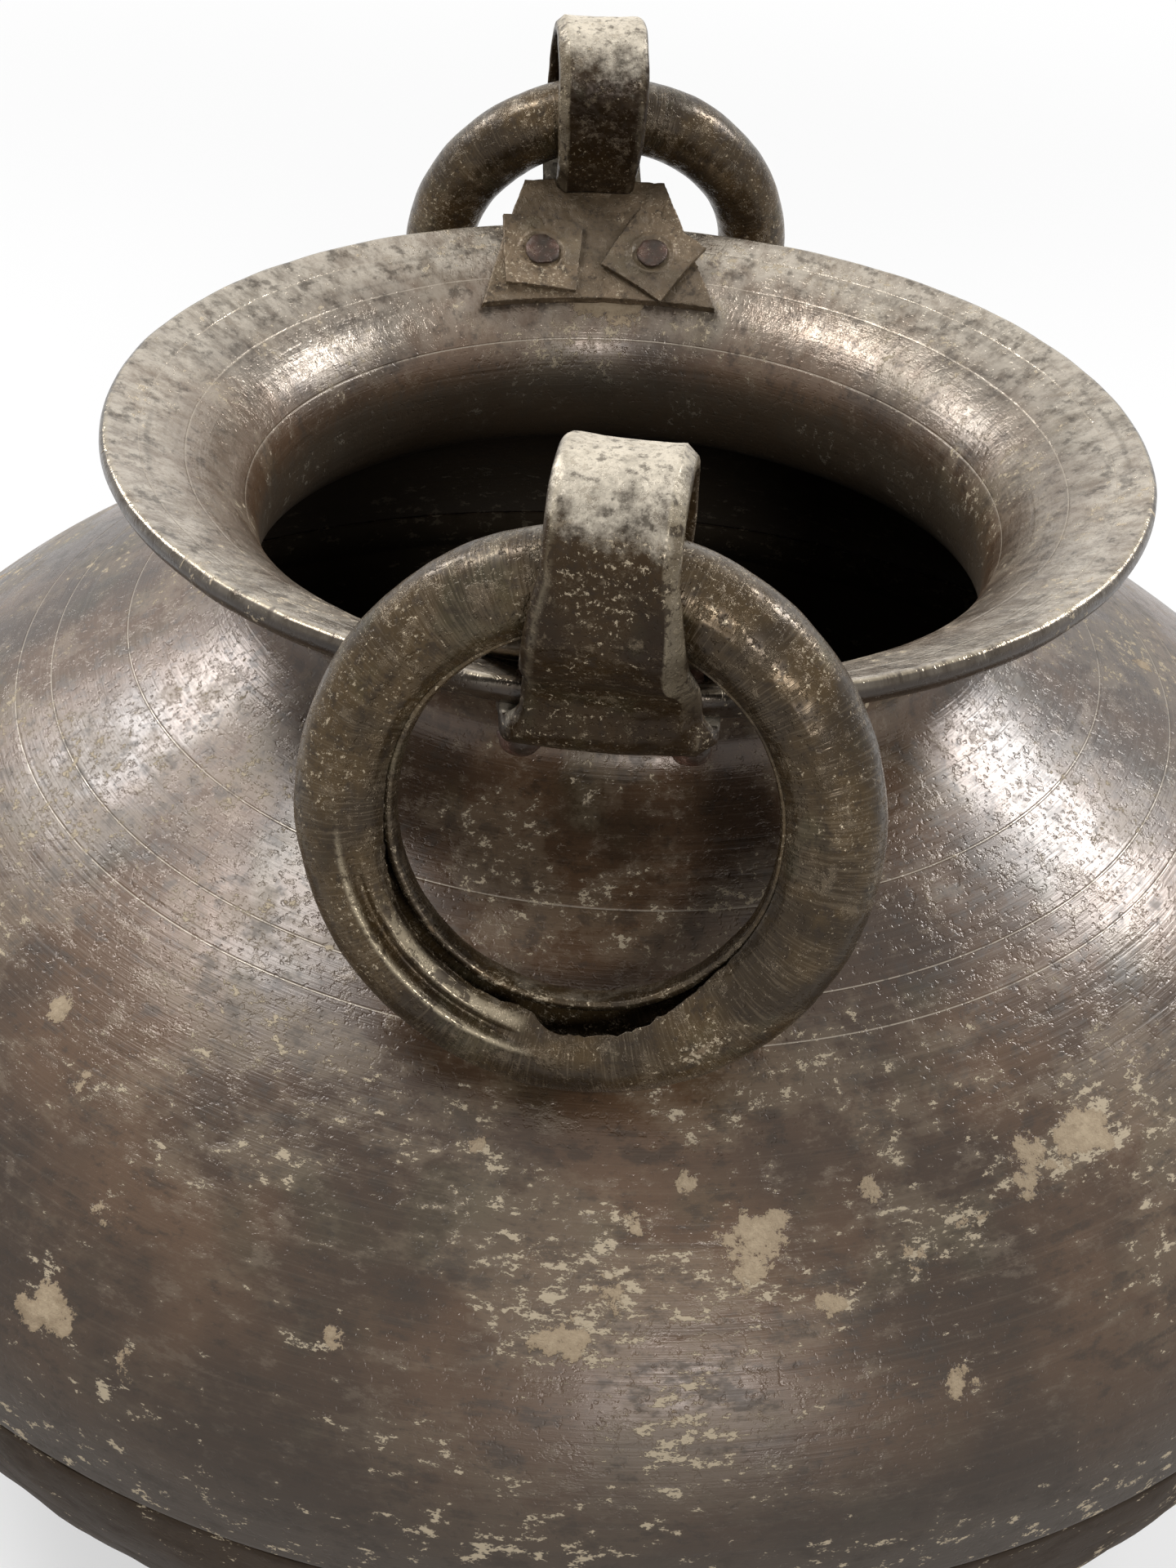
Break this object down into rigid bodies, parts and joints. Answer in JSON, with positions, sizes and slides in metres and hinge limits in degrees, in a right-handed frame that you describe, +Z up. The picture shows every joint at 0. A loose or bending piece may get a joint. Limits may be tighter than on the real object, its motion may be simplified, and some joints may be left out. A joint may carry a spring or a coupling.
{
  "type": "pot",
  "caption": "Large squat round brass pot with a wide flared rim, riveted handle straps and swinging ring handles, dark with age",
  "frame": {"origin": "middle of the flat base, on the floor", "axes": "+Z up, the front handle at -Y, +X to the right seen from the front handle"},
  "size_m": [0.638, 0.638, 0.4635],
  "materials": {
    "shell": "dark brown patina, turned",
    "bowl": "dark brown patina, hammered",
    "strap": "dark brown patina, forged",
    "plate": "tan brown patina",
    "rivet": "reddish brown patina",
    "ring": "olive brown patina, worn"
  },
  "bodies": {
    "pot": {"upper_shell": "shell", "lower_bowl": "bowl", "front_strap": "strap", "front_inner_plate": "plate", "front_left_rove": "plate", "front_left_rivet": "rivet", "front_right_rove": "plate", "front_right_rivet": "rivet", "back_strap": "strap", "back_inner_plate": "plate", "back_left_rove": "plate", "back_left_rivet": "rivet", "back_right_rove": "plate", "back_right_rivet": "rivet"},
    "front_ring": {"front_ring": "ring"},
    "back_ring": {"back_ring": "ring"}
  },
  "joints": [
    {"name": "front_ring_swing", "type": "hinge", "parent": "pot", "child": "front_ring", "pos_m": [0.00165, -0.18949, 0.425], "axis": [-0.9945, 0.1025, 0.0235], "range_deg": [0, 275]},
    {"name": "back_ring_swing", "type": "hinge", "parent": "pot", "child": "back_ring", "pos_m": [-0.02474, 0.18788, 0.425], "axis": [0.9891, 0.1263, 0.0755], "range_deg": [0, 275]}
  ]
}
